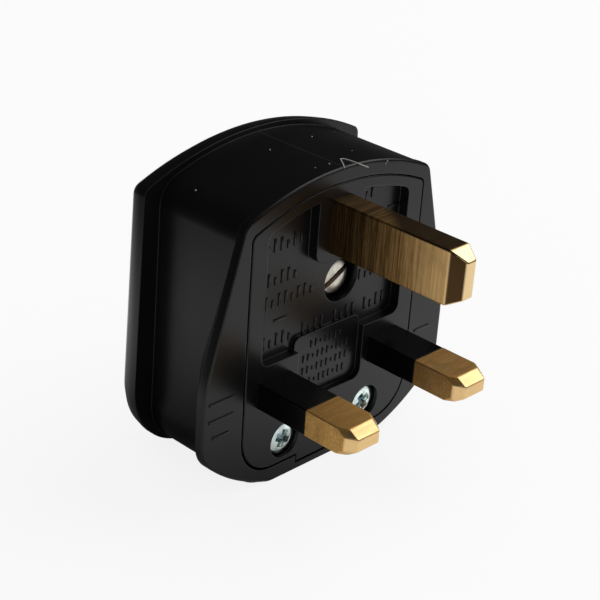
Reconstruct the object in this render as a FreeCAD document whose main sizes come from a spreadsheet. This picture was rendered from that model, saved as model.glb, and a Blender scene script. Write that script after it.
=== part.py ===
import FreeCAD, Part
import math
import os
import Sketcher
from FreeCAD import Placement, Rotation, Vector

# A rewirable three pin mains plug, in millimetres. It stands on its cord entry end.
# X runs across the face, Y runs from the face into the housing, Z is up.
# The origin is on the standing plane, under the earth pin, in the plane of the face.

doc = FreeCAD.newDocument("ThreePinPlug")

sizes = [
    ("pin_wide", 6.35, "live and neutral pins, across the wide side"),
    ("pin_thick", 3.98, "live and neutral pins, across the thin side"),
    ("pin_reach", 17.7, "live and neutral pins, from the face to the tip"),
    ("pin_spacing", 22.23, "between the live and neutral pins"),
    ("pin_height", 15.0, "live and neutral pins above the standing plane"),
    ("earth_wide", 7.94, "earth pin, across the wide side"),
    ("earth_thick", 3.98, "earth pin, across the thin side"),
    ("earth_reach", 22.73, "earth pin, from the face to the tip"),
    ("earth_above", 22.23, "earth pin above the live and neutral pins"),
    ("tip_run", 1.6, "length of the bevels at a live or neutral tip"),
    ("tip_drop", 1.08, "how far the top and bottom bevels fall"),
    ("tip_side_drop", 1.1, "how far the side bevels fall"),
    ("earth_tip_run", 2.26, "length of the bevels at the earth tip"),
    ("earth_tip_drop", 1.24, "how far its top and bottom bevels fall"),
    ("earth_tip_side_drop", 1.08, "how far its side bevels fall"),
    ("pin_edge", 0.25, "bevel of the pins' long edges, and rounding of their sleeves"),
    ("sleeve_reach", 8.9, "insulating sleeve in front of the face"),
    ("sleeve_wall", 0.6, "thickness of the sleeve"),
    ("sleeve_root", 1.2, "length of the sleeve inside the base"),
    ("rim_over", 5.5, "rim outside the waist at its widest"),
    ("rim_knee", 18.9, "height where the rim starts to narrow"),
    ("rim_turn", 8.5, "height of the rim's lower corner"),
    ("rim_corner", 5.0, "rounding of the rim's lower corner"),
    ("rim_knee_round", 22.0, "rounding where the rim starts to narrow"),
    ("rim_low_round", 29.0, "radius of the curve under the rim's lower corner"),
    ("rim_flat_half", 11.6, "half the width of the rim's flat bottom"),
    ("rim_edge", 1.3, "thickness of the rim's edge"),
    ("rim_soften", 0.4, "rounding of the rim's front edge"),
    ("top_wall", 1.25, "housing outside the base at the top corners"),
    ("top_margin", 4.4, "housing above the earth pin, at least"),
    ("head_room", 6.8, "housing above the live terminal, at least"),
    ("top_round", 43.0, "radius of the housing's top"),
    ("top_corner", 2.3, "rounding of the rim's top corners"),
    ("waist_top_corner", 4.4, "rounding of the waist's top corners"),
    ("flare_sink", 0.7, "how far the finger grips' flare runs on into the waist"),
    ("flare_corner", 0.2, "rounding of the corners where the flare meets the waist"),
    ("waist_wall", 2.1, "housing outside the base at the waist's foot"),
    ("waist_corner", 8.0, "rounding of the waist's lower corners"),
    ("flange_start", 16.8, "depth where the rear flange starts"),
    ("flange_edge", 17.7, "depth where the rear flange's edge ends"),
    ("flange_over", 3.45, "flange outside the waist at its foot"),
    ("flange_top_over", 2.85, "flange outside the waist at its top"),
    ("flange_rise", 0.8, "flange above the housing's top"),
    ("flange_round", 48.0, "radius of the flange's top"),
    ("flange_corner", 1.5, "rounding of the flange's top corners"),
    ("flange_low_corner", 11.0, "rounding of the flange's lower corners"),
    ("housing_depth", 22.7, "depth of the housing at the middle of its back"),
    ("dome_inset", 7.0, "how far the flat of the back lies inside the flange"),
    ("back_wall", 2.4, "thickness of the back"),
    ("side_room", 2.285, "base outside the terminal blocks"),
    ("seam_low", 2.3, "height of the base's lower edge"),
    ("seam_below_top", 2.3, "rim above the base at the top"),
    ("seam_corner", 1.2, "rounding of the base's top corners"),
    ("seam_low_corner", 6.3, "rounding of the base's lower corners"),
    ("seam_gap", 0.15, "gap all round the base"),
    ("ledge", 0.9, "width of the ledge that the base rests on"),
    ("base_depth", 5.0, "depth of the base with its skirt"),
    ("plate_depth", 3.4, "thickness of the base's plate"),
    ("skirt_wall", 1.4, "thickness of the base's skirt"),
    ("tongue_half", 5.8, "half the width of the tongue over the cord entry"),
    ("tongue_low", 1.1, "height of the tongue's lower edge"),
    ("recess_depth", 1.6, "depth of the recess in the face"),
    ("recess_side", 3.0, "face left beside the recess"),
    ("recess_low", 19.3, "height of the recess's lower edge"),
    ("recess_margin", 1.6, "face left above the recess"),
    ("recess_corner", 1.5, "rounding of the recess's corners"),
    ("panel_depth", 1.0, "depth of the panel between the pins"),
    ("panel_half", 6.65, "half the width of that panel"),
    ("panel_low", 11.0, "height of its lower edge"),
    ("panel_high", 21.0, "height of its upper edge"),
    ("panel_corner", 1.1, "rounding of its upper corners"),
    ("boss_half", 4.5, "half the width of the boss round the earth pin"),
    ("boss_below", 1.26, "that boss below the earth pin"),
    ("boss_corner", 1.8, "rounding of its lower corners"),
    ("screw_across", 2.7, "cover screw to the right of the earth pin's middle"),
    ("screw_drop", 5.9, "cover screw below the earth pin"),
    ("screw_hole", 6.8, "hole round the cover screw's head"),
    ("screw_head", 5.4, "diameter of the cover screw's head"),
    ("screw_face", 2.65, "depth of the cover screw's head face"),
    ("screw_seat", 4.15, "depth of the cover screw's seat"),
    ("screw_shank", 4.0, "diameter of the cover screw's shank"),
    ("screw_end", 10.8, "depth where the cover screw ends"),
    ("slot_wide", 0.9, "width of a screw's slot"),
    ("slot_deep", 0.8, "depth of a screw's slot"),
    ("slot_turn", 62.5, "turn of the cover screw's slot from upright, in degrees"),
    ("screw_bevel", 0.3, "bevel of a screw's head and tip"),
    ("washer_wide", 7.0, "diameter of the fibre ring on the cover screw"),
    ("washer_thick", 0.5, "thickness of the fibre ring"),
    ("post_wide", 8.0, "diameter of the cover's post"),
    ("insert_wide", 5.6, "diameter of the threaded insert"),
    ("insert_long", 6.0, "length of the threaded insert"),
    ("stiffener", 1.2, "thickness of the ribs inside the cover's back"),
    ("stiffener_tall", 3.0, "height of those ribs"),
    ("grip_spacing", 16.8, "between the cord grip screws"),
    ("grip_height", 5.9, "height of the cord grip screws"),
    ("grip_hole", 5.6, "hole round a cord grip screw's head"),
    ("grip_head", 5.0, "diameter of a cord grip screw's head"),
    ("grip_face", 0.5, "depth of a cord grip screw's head face"),
    ("grip_seat", 2.3, "depth of a cord grip screw's seat"),
    ("grip_shank", 3.0, "diameter of a cord grip screw's shank"),
    ("grip_end", 14.6, "depth where the cord grip screws end"),
    ("cross_wide", 2.6, "width of the cross recess"),
    ("cross_arm", 0.7, "width of the cross recess's arms"),
    ("cross_deep", 1.2, "depth of the cross recess"),
    ("bar_near", 11.2, "depth of the grip bar's near side"),
    ("bar_thick", 2.8, "thickness of the grip bar"),
    ("bar_half", 11.2, "half the length of the grip bar"),
    ("bar_tall", 4.6, "height of the grip bar"),
    ("bar_saddle", 9.0, "radius of the hollow in the grip bar"),
    ("bar_saddle_deep", 1.0, "depth of the hollow in the grip bar"),
    ("saddle_rib", 0.9, "thickness of the ribs under the cord"),
    ("saddle_rib_tall", 1.2, "height of the ribs under the cord"),
    ("entry_half", 5.2, "half the width of the cord entry"),
    ("entry_near", 5.4, "depth of the cord entry's near side"),
    ("entry_far", 13.8, "depth of the cord entry's far side"),
    ("entry_round", 4.0, "rounding of the cord entry"),
    ("block_far", 11.4, "depth of the terminal blocks' far side"),
    ("block_half", 3.6, "half the width of the neutral and live blocks"),
    ("earth_block_half", 4.2, "half the width of the earth block"),
    ("post_clear", 0.2, "gap between the cover's post and the earth block"),
    ("block_below", 2.6, "neutral block below the middle of its pin"),
    ("block_above", 9.0, "neutral block above the middle of its pin"),
    ("live_block_wall", 4.3, "height of the live block's tall part"),
    ("clip_seat", 6.0, "depth of the fuse clips' seats"),
    ("wire_hole", 3.2, "diameter of the wire holes"),
    ("wire_depth", 7.6, "depth of the wire holes' centres"),
    ("clamp_shank", 2.9, "diameter of a terminal screw's shank"),
    ("clamp_head", 4.2, "diameter of a terminal screw's head"),
    ("clamp_head_thick", 1.8, "thickness of a terminal screw's head"),
    ("clamp_under", 0.6, "gap under a terminal screw's head"),
    ("clamp_short", 0.2, "how far a terminal screw stops short of the wire hole's centre"),
    ("fuse_long", 25.4, "length of the fuse"),
    ("bar_clear", 0.7, "gap between the cord grip bar and the fuse"),
    ("fuse_clear", 0.2, "gap between the fuse and the live block above it"),
    ("fuse_wide", 6.35, "diameter of the fuse's caps"),
    ("fuse_cap_long", 6.0, "length of a fuse cap"),
    ("fuse_cap_wall", 0.3, "thickness of a fuse cap"),
    ("fuse_cap_bevel", 0.2, "bevel of a fuse cap's end"),
    ("clip_thick", 0.6, "thickness of the fuse clips' strip"),
    ("clip_tall", 4.4, "width of the fuse clips' strip"),
    ("clip_gap", 4.4, "width of a fuse clip's mouth"),
    ("clip_lip", 1.4, "length of the lips of a fuse clip"),
    ("clip_foot_half", 2.6, "half the width of a fuse clip's foot"),
]


# A size is a number together with the expression that binds it to its cell
class Size:
    def __init__(self, value, text):
        self.value = value
        self.text = text

    def __add__(self, other):
        other = as_size(other)
        return Size(self.value + other.value, "(%s + %s)" % (self.text, other.text))

    def __sub__(self, other):
        other = as_size(other)
        return Size(self.value - other.value, "(%s - %s)" % (self.text, other.text))

    def __mul__(self, other):
        other = as_size(other)
        return Size(self.value * other.value, "(%s * %s)" % (self.text, other.text))

    def __truediv__(self, other):
        other = as_size(other)
        return Size(self.value / other.value, "(%s / %s)" % (self.text, other.text))

    def __neg__(self):
        return Size(-self.value, "(-1 * %s)" % self.text)

    def __radd__(self, other):
        return as_size(other) + self

    def __rsub__(self, other):
        return as_size(other) - self

    def __rmul__(self, other):
        return as_size(other) * self


def as_size(value):
    if isinstance(value, Size):
        return value
    return Size(float(value), repr(float(value)))


def root(size):
    return Size(math.sqrt(size.value), "sqrt(%s)" % size.text)


def larger(first, second):
    return Size(max(first.value, second.value), "max(%s; %s)" % (first.text, second.text))


def bind(item, prop, size):
    item.setExpression(prop, as_size(size).text)


class Sizes:
    def __init__(self, rows):
        sheet = doc.addObject("Spreadsheet::Sheet", "Sizes")
        for row, (name, value, note) in enumerate(rows, start=1):
            sheet.set("A%d" % row, name)
            sheet.set("B%d" % row, str(value))
            sheet.set("C%d" % row, note)
            sheet.setAlias("B%d" % row, name)
            setattr(self, name, Size(float(value), "Sizes.%s" % name))
        doc.recompute()


s = Sizes(sizes)

# Sizes that follow from those above
s.earth_height = s.pin_height + s.earth_above
s.earth_low = s.earth_height - s.earth_wide / 2
s.earth_top = s.earth_height + s.earth_wide / 2
s.screw_height = s.earth_low - s.screw_drop
s.earth_block_low = s.screw_height + s.post_wide / 2 + s.post_clear
s.fuse_low = s.grip_height + s.bar_tall / 2 + s.bar_clear
s.fuse_top = s.fuse_low + s.fuse_long
s.live_block_high = s.fuse_top + s.fuse_clear + s.live_block_wall
s.top_height = larger(s.earth_top + s.top_margin, s.live_block_high + s.head_room)
s.seam_half = s.pin_spacing / 2 + s.block_half + s.side_room
s.top_half = s.seam_half + s.top_wall
s.waist_half = s.seam_half + s.waist_wall
s.rim_half = s.waist_half + s.rim_over
s.flare = s.rim_over + s.flare_sink
s.flange_half = s.waist_half + s.flange_over
s.flange_top_half = s.top_half + s.flange_top_over
s.flange_height = s.top_height + s.flange_rise
s.recess_half = s.seam_half - s.recess_side
s.boss_low = s.earth_low - s.boss_below


# Sketches

def new_body(label):
    body = doc.addObject("PartDesign::Body", label)
    body.Label = label
    return body


def sketch_on(body, role, away=0):
    plane = [item for item in body.Origin.OriginFeatures if item.Role == role][0]
    sketch = body.newObject("Sketcher::SketchObject", body.Label + "_sketch")
    sketch.AttachmentSupport = (plane, [""])
    sketch.MapMode = "FlatFace"
    bind(sketch, "AttachmentOffset.Base.z", away)
    return sketch


# A sketch parallel to the face, at a depth behind it: its sides run along X and Z
def face_sketch(body, depth):
    return sketch_on(body, "XZ_Plane", -as_size(depth))


def level_sketch(body, height):
    return sketch_on(body, "XY_Plane", height)


def place_point(sketch, geometry, end, across, up):
    for kind, size in (("DistanceX", as_size(across)), ("DistanceY", as_size(up))):
        index = sketch.addConstraint(Sketcher.Constraint(kind, -1, 1, geometry, end, size.value))
        sketch.setExpression("Constraints[%d]" % index, size.text)


def bind_radius(sketch, geometry, size):
    index = sketch.addConstraint(Sketcher.Constraint("Radius", geometry, size.value))
    sketch.setExpression("Constraints[%d]" % index, size.text)


def draw_circle(sketch, across, up, diameter):
    across, up, radius = as_size(across), as_size(up), as_size(diameter) / 2
    circle = Part.Circle(Vector(across.value, up.value, 0), Vector(0, 0, 1), radius.value)
    index = sketch.addGeometry(circle)
    bind_radius(sketch, index, radius)
    place_point(sketch, index, 3, across, up)


# One corner of an outline: where its two sides meet, its rounding, and the radius of the
# side that follows when that side is curved
class Corner:
    def __init__(self, across, up, rounding=None, curve=None):
        self.across = as_size(across)
        self.up = as_size(up)
        self.rounding = None if rounding is None else as_size(rounding)
        self.curve = None if curve is None else as_size(curve)
        self.at = Vector(self.across.value, self.up.value, 0)


# The middle of the circle that bulges outwards from start to end, on an anticlockwise outline
def curve_centre(start, end, radius):
    chord = end - start
    middle = (start + end) * 0.5
    inward = Vector(-chord.y, chord.x, 0).normalize()
    return middle + inward * math.sqrt(radius ** 2 - (chord.Length / 2) ** 2)


def side_direction(corner, following, at):
    if corner.curve is None:
        return (following.at - corner.at).normalize()
    centre = curve_centre(corner.at, following.at, corner.curve.value)
    spoke = at - centre
    return Vector(-spoke.y, spoke.x, 0).normalize()


def arc_between(centre, radius, start, end):
    first = math.atan2(start.y - centre.y, start.x - centre.x)
    last = math.atan2(end.y - centre.y, end.x - centre.x)
    circle = Part.Circle(centre, Vector(0, 0, 1), radius)
    return Part.ArcOfCircle(circle, first, last if last > first else last + 2 * math.pi)


# Draws a closed outline, anticlockwise, whose corners are rounded by tangent arcs
def draw_outline(sketch, corners):
    count = len(corners)
    first_side = sketch.GeometryCount
    arrive, leave, turns = [], [], []
    for number, corner in enumerate(corners):
        before, after = corners[number - 1], corners[(number + 1) % count]
        coming = side_direction(before, corner, corner.at)
        going = side_direction(corner, after, corner.at)
        turn = math.atan2(coming.cross(going).z, coming.dot(going))
        cut = 0 if corner.rounding is None else corner.rounding.value * math.tan(abs(turn) / 2)
        arrive.append(corner.at - coming * cut)
        leave.append(corner.at + going * cut)
        turns.append((Vector(-coming.y, coming.x, 0) * math.copysign(1, turn), turn > 0))
    for number, corner in enumerate(corners):
        following = corners[(number + 1) % count]
        start, end = leave[number], arrive[(number + 1) % count]
        if corner.curve is None:
            sketch.addGeometry(Part.LineSegment(start, end))
            continue
        radius = corner.curve.value
        centre = curve_centre(corner.at, following.at, radius)
        bind_radius(sketch, sketch.addGeometry(arc_between(centre, radius, start, end)),
                    corner.curve)
    for number, corner in enumerate(corners):
        before, after = first_side + (number - 1) % count, first_side + number
        if corner.rounding is None:
            sketch.addConstraint(Sketcher.Constraint("Coincident", before, 2, after, 1))
            place_point(sketch, after, 1, corner.across, corner.up)
        else:
            inward, leftward = turns[number]
            round_corner(sketch, corner, before, after, arrive[number], leave[number],
                         inward, leftward)


def round_corner(sketch, corner, before, after, arrival, departure, inward, leftward):
    centre = arrival + inward * corner.rounding.value
    start, end = (arrival, departure) if leftward else (departure, arrival)
    first, last = (1, 2) if leftward else (2, 1)
    arc = sketch.addGeometry(arc_between(centre, corner.rounding.value, start, end))
    point = sketch.addGeometry(Part.Point(corner.at), True)
    sketch.addConstraint([
        Sketcher.Constraint("Tangent", before, 2, arc, first),
        Sketcher.Constraint("Tangent", after, 1, arc, last),
        Sketcher.Constraint("PointOnObject", point, 1, before),
        Sketcher.Constraint("PointOnObject", point, 1, after),
    ])
    bind_radius(sketch, arc, corner.rounding)
    place_point(sketch, point, 1, corner.across, corner.up)


def draw_box(sketch, left, low, right, high, rounding=None):
    spots = ((left, low), (right, low), (right, high), (left, high))
    draw_outline(sketch, [Corner(across, up, rounding) for across, up in spots])


# Features

tiny = 1e-4
dome_steps = 5


def volume_of(body):
    doc.recompute()
    return body.Shape.Volume if body.Tip else 0


def check_change(body, before, grows):
    change = volume_of(body) - before
    if (change > 0) != grows or abs(change) < tiny:
        raise ValueError("%s: %s changed nothing" % (body.Label, body.Tip.Label))


def pad(body, sketch, length, inward=True):
    before = volume_of(body)
    feature = body.newObject("PartDesign::Pad", body.Label + "_pad")
    feature.Profile = sketch
    feature.Reversed = inward
    bind(feature, "Length", length)
    check_change(body, before, True)


def pocket(body, sketch, length, towards=False):
    before = volume_of(body)
    feature = body.newObject("PartDesign::Pocket", body.Label + "_pocket")
    feature.Profile = sketch
    feature.Reversed = towards
    bind(feature, "Length", length)
    check_change(body, before, False)


def loft(body, sketches):
    before = volume_of(body)
    feature = body.newObject("PartDesign::AdditiveLoft", body.Label + "_loft")
    feature.Profile = sketches[0]
    feature.Sections = sketches[1:]
    feature.Ruled = True
    check_change(body, before, True)


def dress(body, kind, prop, size, chosen):
    doc.recompute()
    base = body.Tip
    edges = base.Shape.Edges
    names = ["Edge%d" % number for number, edge in enumerate(edges, start=1) if chosen(edge)]
    if not names:
        raise ValueError("%s: no edge for its %s" % (body.Label, kind))
    feature = body.newObject("PartDesign::" + kind, body.Label + "_" + kind.lower())
    feature.Base = (base, names)
    bind(feature, prop, size)
    doc.recompute()


def fillet(body, size, chosen):
    dress(body, "Fillet", "Radius", size, chosen)


def chamfer(body, size, chosen):
    dress(body, "Chamfer", "Size", size, chosen)


def at_depth(edge, depth):
    box = edge.BoundBox
    return abs(box.YMin - depth) < tiny and abs(box.YMax - depth) < tiny


def at_height(edge, height):
    box = edge.BoundBox
    return abs(box.ZMin - height) < tiny and abs(box.ZMax - height) < tiny


def along_depth(edge):
    box = edge.BoundBox
    return box.YLength > tiny and box.XLength < tiny and box.ZLength < tiny


# Outlines that the pieces share. Each is given from its lower left corner, anticlockwise

def arc_height(apex, radius, across):
    return apex - (radius - root(radius * radius - across * across))


def mirrored(right):
    left = [Corner(-c.across, c.up, c.rounding) for c in reversed(right)]
    for number in range(len(right) - 1):
        left[number].curve = right[len(right) - 2 - number].curve
    return right + left


def rim_outline(inset, low_corner, high_corner):
    radius = s.top_round - inset
    half = s.rim_half - inset
    top_half = s.top_half - inset
    top = arc_height(s.top_height - inset, radius, top_half)
    return mirrored([
        Corner(s.rim_flat_half, inset, None, s.rim_low_round - inset),
        Corner(half, s.rim_turn, low_corner),
        Corner(half, s.rim_knee, s.rim_knee_round - inset),
        Corner(top_half, top, high_corner, radius),
    ])


def waist_outline():
    top = arc_height(s.top_height, s.top_round, s.top_half)
    return mirrored([
        Corner(s.waist_half, 0, s.waist_corner),
        Corner(s.top_half, top, s.waist_top_corner, s.top_round),
    ])


def flange_outline(inset):
    top_half = s.flange_top_half - inset
    apex, radius = s.flange_height - inset, s.flange_round - inset
    top = arc_height(apex, radius, top_half)
    return mirrored([
        Corner(s.flange_half - inset, inset, s.flange_low_corner - inset),
        Corner(top_half, top, s.flange_corner, radius),
    ])


def seam_outline(inset):
    half = s.seam_half - inset
    apex = s.top_height - s.seam_below_top - inset
    radius = s.top_round - s.seam_below_top - inset
    return mirrored([
        Corner(half, s.seam_low + inset, s.seam_low_corner - inset),
        Corner(half, arc_height(apex, radius, half), s.seam_corner, radius),
    ])


# Cover: the shell with its rim, finger grips, flange and domed back

def make_cover():
    cover = new_body("rear_cover")
    rim = face_sketch(cover, 0)
    draw_outline(rim, rim_outline(0, s.rim_corner, s.top_corner))
    pad(cover, rim, s.rim_edge)
    fillet(cover, s.rim_soften, lambda edge: at_depth(edge, 0) and not at_height(edge, 0))
    waist = face_sketch(cover, s.rim_edge / 2)
    draw_outline(waist, waist_outline())
    pad(cover, waist, s.flange_start - s.rim_edge / 2)
    make_flare(cover)
    make_flange(cover)
    make_cavity(cover)
    make_post(cover)
    entry = level_sketch(cover, 0)
    draw_box(entry, -s.entry_half, s.entry_near, s.entry_half, s.entry_far, s.entry_round)
    pocket(cover, entry, s.seam_low + s.ledge + s.seam_gap, True)
    return cover


def make_flare(cover):
    front = face_sketch(cover, s.rim_edge)
    draw_outline(front, rim_outline(0, s.rim_corner, s.waist_top_corner))
    back = face_sketch(cover, s.rim_edge + s.flare)
    draw_outline(back, rim_outline(s.flare, s.flare_corner, s.flare_corner))
    loft(cover, [front, back])


def make_flange(cover):
    flange = face_sketch(cover, s.flange_start)
    draw_outline(flange, flange_outline(0))
    pad(cover, flange, s.flange_edge - s.flange_start)
    make_dome(cover)


# The back follows a quarter of an ellipse, in narrow bands, from the flange's edge in to its
# flat middle
def make_dome(cover):
    rise = s.housing_depth - s.flange_edge
    sections = []
    for step in range(dome_steps + 1):
        turn = math.pi / 2 * step / dome_steps
        section = face_sketch(cover, s.flange_edge + rise * math.sin(turn))
        draw_outline(section, flange_outline(s.dome_inset * (1 - math.cos(turn))))
        sections.append(section)
    loft(cover, sections)


def make_cavity(cover):
    mouth = face_sketch(cover, 0)
    draw_outline(mouth, seam_outline(-s.seam_gap))
    pocket(cover, mouth, s.base_depth)
    inner = face_sketch(cover, s.base_depth)
    draw_outline(inner, seam_outline(s.ledge))
    pocket(cover, inner, s.housing_depth - s.back_wall - s.base_depth)
    notch = face_sketch(cover, 0)
    side = s.tongue_half + s.seam_gap
    draw_box(notch, -side, s.tongue_low - s.seam_gap, side, s.seam_low + s.skirt_wall)
    pocket(cover, notch, s.base_depth)


def make_post(cover):
    floor = s.housing_depth - s.back_wall
    tip = s.base_depth + s.washer_thick
    for across in (True, False):
        rib = face_sketch(cover, floor - s.stiffener_tall)
        if across:
            draw_box(rib, -s.seam_half, s.screw_height - s.stiffener / 2,
                     s.seam_half, s.screw_height + s.stiffener / 2)
        else:
            draw_box(rib, s.screw_across - s.stiffener / 2, s.seam_low,
                     s.screw_across + s.stiffener / 2, s.top_height - s.seam_below_top)
        pad(cover, rib, s.stiffener_tall)
    post = face_sketch(cover, floor)
    draw_circle(post, s.screw_across, s.screw_height, s.post_wide)
    pad(cover, post, floor - tip, False)
    hole = face_sketch(cover, tip)
    draw_circle(hole, s.screw_across, s.screw_height, s.insert_wide)
    pocket(cover, hole, s.insert_long)


# Base: the plate that carries the pins, with a skirt behind it

def make_base():
    base = new_body("pin_base")
    block = face_sketch(base, 0)
    draw_outline(block, seam_outline(0))
    pad(base, block, s.base_depth)
    tongue = face_sketch(base, 0)
    draw_box(tongue, -s.tongue_half, s.tongue_low, s.tongue_half, s.seam_low + s.skirt_wall)
    pad(base, tongue, s.base_depth)
    tray = face_sketch(base, s.base_depth)
    draw_outline(tray, seam_outline(s.skirt_wall))
    pocket(base, tray, s.base_depth - s.plate_depth, True)
    boss = face_sketch(base, s.plate_depth)
    draw_circle(boss, s.screw_across, s.screw_height, s.post_wide)
    pad(base, boss, s.base_depth - s.plate_depth)
    make_recess(base)
    make_pin_slots(base)
    make_screw_holes(base)
    make_saddle_ribs(base)
    return base


def make_recess(base):
    apex = s.top_height - s.seam_below_top - s.recess_margin
    radius = s.top_round - s.seam_below_top - s.recess_margin
    high = arc_height(apex, radius, s.recess_half)
    boss_high = arc_height(apex, radius, s.boss_half)
    recess = face_sketch(base, 0)
    draw_outline(recess, mirrored([
        Corner(s.panel_half, s.panel_high, s.panel_corner),
        Corner(s.panel_half, s.recess_low),
        Corner(s.recess_half, s.recess_low, s.recess_corner),
        Corner(s.recess_half, high, s.recess_corner, radius),
        Corner(s.boss_half, boss_high),
        Corner(s.boss_half, s.boss_low, s.boss_corner),
    ]))
    pocket(base, recess, s.recess_depth)
    panel = face_sketch(base, 0)
    edge = s.panel_half
    draw_outline(panel, [
        Corner(-edge, s.panel_low, s.recess_corner),
        Corner(edge, s.panel_low, s.recess_corner),
        Corner(edge, s.panel_high + s.recess_corner),
        Corner(-edge, s.panel_high + s.recess_corner),
    ])
    pocket(base, panel, s.panel_depth)


def make_pin_slots(base):
    slots = face_sketch(base, 0)
    half, thin = s.pin_wide / 2, s.pin_thick / 2
    for side in (-1, 1):
        middle = s.pin_spacing / 2 * side
        draw_box(slots, middle - half, s.pin_height - thin, middle + half, s.pin_height + thin)
    draw_box(slots, -s.earth_thick / 2, s.earth_low, s.earth_thick / 2, s.earth_top)
    pocket(base, slots, s.plate_depth)


def make_screw_holes(base):
    head = face_sketch(base, 0)
    draw_circle(head, s.screw_across, s.screw_height, s.screw_hole)
    pocket(base, head, s.screw_seat)
    through = face_sketch(base, 0)
    draw_circle(through, s.screw_across, s.screw_height, s.screw_shank)
    pocket(base, through, s.base_depth)
    for wide, deep in ((s.grip_hole, s.grip_seat), (s.grip_shank, s.plate_depth)):
        holes = face_sketch(base, 0)
        for side in (-1, 1):
            draw_circle(holes, s.grip_spacing / 2 * side, s.grip_height, wide)
        pocket(base, holes, deep)


def make_saddle_ribs(base):
    ribs = face_sketch(base, s.plate_depth)
    for side in (-1, 1):
        middle = s.grip_height + s.bar_tall / 4 * side
        draw_box(ribs, -s.entry_half, middle - s.saddle_rib / 2, s.entry_half,
                 middle + s.saddle_rib / 2)
    pad(base, ribs, s.saddle_rib_tall)


# Pins and their blocks

def pin_tip(body, middle, high, wide, tall, reach, run, side_drop, drop):
    root_end = face_sketch(body, -(reach - run))
    draw_box(root_end, middle - wide / 2, high - tall / 2, middle + wide / 2, high + tall / 2)
    nose = face_sketch(body, -reach)
    draw_box(nose, middle - wide / 2 + side_drop, high - tall / 2 + drop,
             middle + wide / 2 - side_drop, high + tall / 2 - drop)
    loft(body, [root_end, nose])


def bar_between(body, near, far, left, low, right, high):
    section = face_sketch(body, near)
    draw_box(section, left, low, right, high)
    pad(body, section, far - near)


def make_earth_pin():
    earth = new_body("earth_pin")
    half = s.earth_thick / 2
    bar_between(earth, -(s.earth_reach - s.earth_tip_run), s.plate_depth,
                -half, s.earth_low, half, s.earth_top)
    pin_tip(earth, as_size(0), s.earth_height, s.earth_thick, s.earth_wide, s.earth_reach,
            s.earth_tip_run, s.earth_tip_side_drop, s.earth_tip_drop)
    bevel_pin(earth)
    bar_between(earth, s.plate_depth, s.block_far, -s.earth_block_half, s.earth_block_low,
                s.earth_block_half, s.earth_top)
    middle = (s.earth_block_low + s.earth_top) / 2
    drill_block(earth, as_size(0), middle, "YZ_Plane", s.earth_block_half)
    return earth


def make_sleeved_pin(label, side):
    pin = new_body(label)
    middle = s.pin_spacing / 2 * side
    half, thin = s.pin_wide / 2, s.pin_thick / 2
    bar_between(pin, -(s.pin_reach - s.tip_run), -s.sleeve_reach, middle - half,
                s.pin_height - thin, middle + half, s.pin_height + thin)
    pin_tip(pin, middle, s.pin_height, s.pin_wide, s.pin_thick, s.pin_reach, s.tip_run,
            s.tip_side_drop, s.tip_drop)
    bevel_pin(pin)
    bar_between(pin, -s.sleeve_reach, s.sleeve_root, middle - half + s.sleeve_wall,
                s.pin_height - thin + s.sleeve_wall, middle + half - s.sleeve_wall,
                s.pin_height + thin - s.sleeve_wall)
    bar_between(pin, s.sleeve_root, s.plate_depth, middle - half, s.pin_height - thin,
                middle + half, s.pin_height + thin)
    return pin


def bevel_pin(pin):
    chamfer(pin, s.pin_edge, lambda edge: edge.BoundBox.YLength > s.pin_edge.value)


def drill_block(body, middle, high, role, reach):
    away = middle - reach if role == "YZ_Plane" else as_size(0)
    wire = sketch_on(body, role, away)
    if role == "YZ_Plane":
        draw_circle(wire, s.wire_depth, high, s.wire_hole)
    else:
        draw_circle(wire, middle, s.wire_depth, s.wire_hole)
    pocket(body, wire, reach * 2, True)
    tap = face_sketch(body, s.wire_depth)
    draw_circle(tap, middle, high, s.clamp_shank)
    pocket(body, tap, s.block_far - s.wire_depth)


def make_neutral_pin():
    pin = make_sleeved_pin("neutral_pin", 1)
    middle = s.pin_spacing / 2
    high = s.pin_height + s.block_above
    bar_between(pin, s.plate_depth, s.block_far, middle - s.block_half,
                s.pin_height - s.block_below, middle + s.block_half, high)
    drill_block(pin, middle, high - s.block_half, "XY_Plane", high)
    return pin


def make_live_pin():
    pin = make_sleeved_pin("live_pin", -1)
    middle = -s.pin_spacing / 2
    low = s.fuse_low + (s.fuse_cap_long - s.clip_tall) / 2
    bar_between(pin, s.plate_depth, s.clip_seat, middle - s.block_half, low,
                middle + s.block_half, s.pin_height + s.pin_thick / 2)
    return pin


def make_live_terminal():
    block = new_body("live_terminal")
    middle = -s.pin_spacing / 2
    low = s.fuse_top - (s.fuse_cap_long + s.clip_tall) / 2
    tall_low = s.fuse_top + s.fuse_clear
    left, right = middle - s.block_half, middle + s.block_half
    bar_between(block, s.plate_depth, s.clip_seat, left, low, right, s.live_block_high)
    bar_between(block, s.clip_seat, s.block_far, left, tall_low, right, s.live_block_high)
    drill_block(block, middle, (tall_low + s.live_block_high) / 2, "YZ_Plane", s.block_half)
    return block


# Sleeves on the live and neutral pins

def make_sleeve(label, side):
    sleeve = new_body(label)
    middle = s.pin_spacing / 2 * side
    half, thin = s.pin_wide / 2, s.pin_thick / 2
    bar_between(sleeve, -s.sleeve_reach, s.sleeve_root, middle - half, s.pin_height - thin,
                middle + half, s.pin_height + thin)
    fillet(sleeve, s.pin_edge, lambda edge: along_depth(edge))
    inside = face_sketch(sleeve, -s.sleeve_reach)
    draw_box(inside, middle - half + s.sleeve_wall, s.pin_height - thin + s.sleeve_wall,
             middle + half - s.sleeve_wall, s.pin_height + thin - s.sleeve_wall)
    pocket(sleeve, inside, s.sleeve_reach + s.sleeve_root)
    return sleeve


# Screws. Each is drawn round its own axis with its head at the front, then put in its place

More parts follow.
